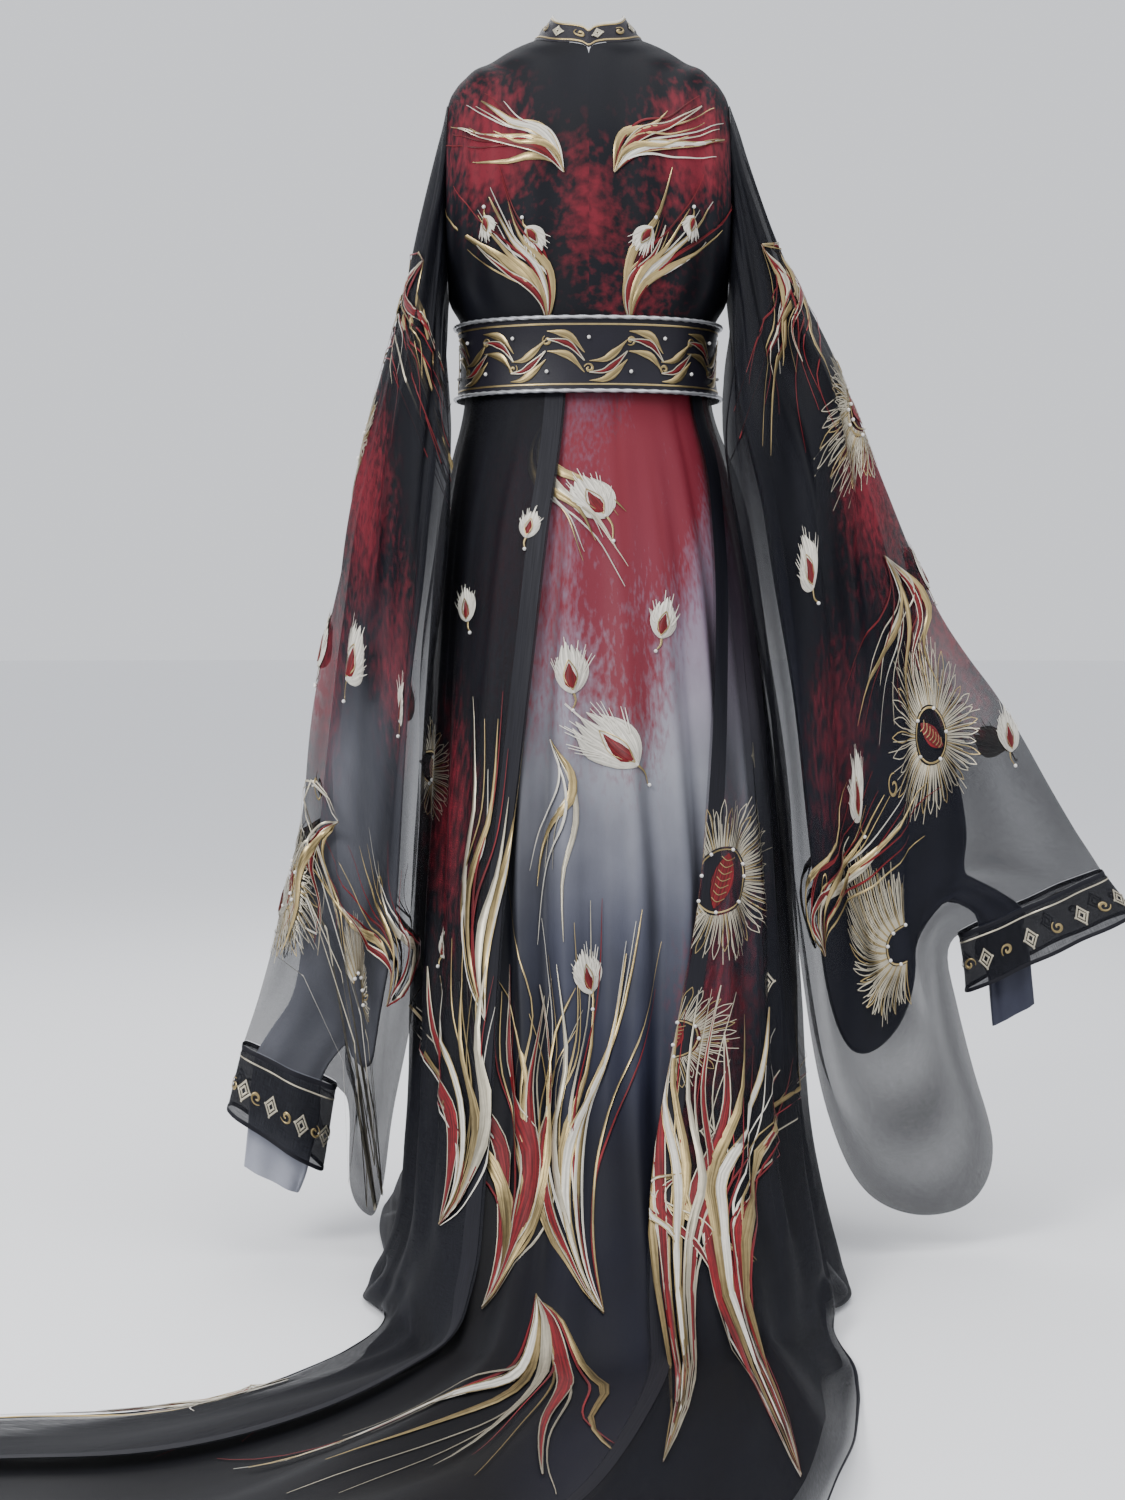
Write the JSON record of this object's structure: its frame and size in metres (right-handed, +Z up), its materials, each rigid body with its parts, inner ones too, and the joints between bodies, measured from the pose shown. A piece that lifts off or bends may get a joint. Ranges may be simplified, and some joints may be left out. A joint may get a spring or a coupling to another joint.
{
  "type": "hanfu robe",
  "caption": "Floor-length crossed-collar robe with wide pouched sleeves, sash, dyed underskirt and sheer split overskirt with a train, hollow as worn.",
  "frame": {"origin": "centre of the neck opening at the height of the nape, where the wearer holds the robe up", "axes": "+Z up, the front of the robe faces -Y, the train runs to +Y, the wearer's left is +X"},
  "size_m": [1.5812, 1.6738, 1.5128],
  "materials": {
    "dyed_underskirt": "soft satin, dyed in bands",
    "overskirt_organza": "sheer organza",
    "sleeve_organza": "sheer organza",
    "cuff_organza": "doubled organza",
    "inner_sleeve_satin": "satin",
    "bodice_organza": "sheer organza over satin",
    "collar_satin": "satin with satin stitch",
    "sash_brocade": "embroidered satin",
    "sash_piping": "corded satin"
  },
  "bodies": {
    "root": {"underskirt_back": "dyed_underskirt", "underskirt_front": "dyed_underskirt", "overskirt_right": "overskirt_organza", "overskirt_left": "overskirt_organza", "sleeve_right": "sleeve_organza", "sleeve_left": "sleeve_organza", "cuff_right": "cuff_organza", "cuff_left": "cuff_organza", "inner_sleeve_right": "inner_sleeve_satin", "inner_sleeve_left": "inner_sleeve_satin", "bodice_right": "bodice_organza", "bodice_left": "bodice_organza", "collar": "collar_satin", "sash": "sash_brocade", "sash_piping_top": "sash_piping", "sash_piping_bottom": "sash_piping"}
  },
  "joints": []
}
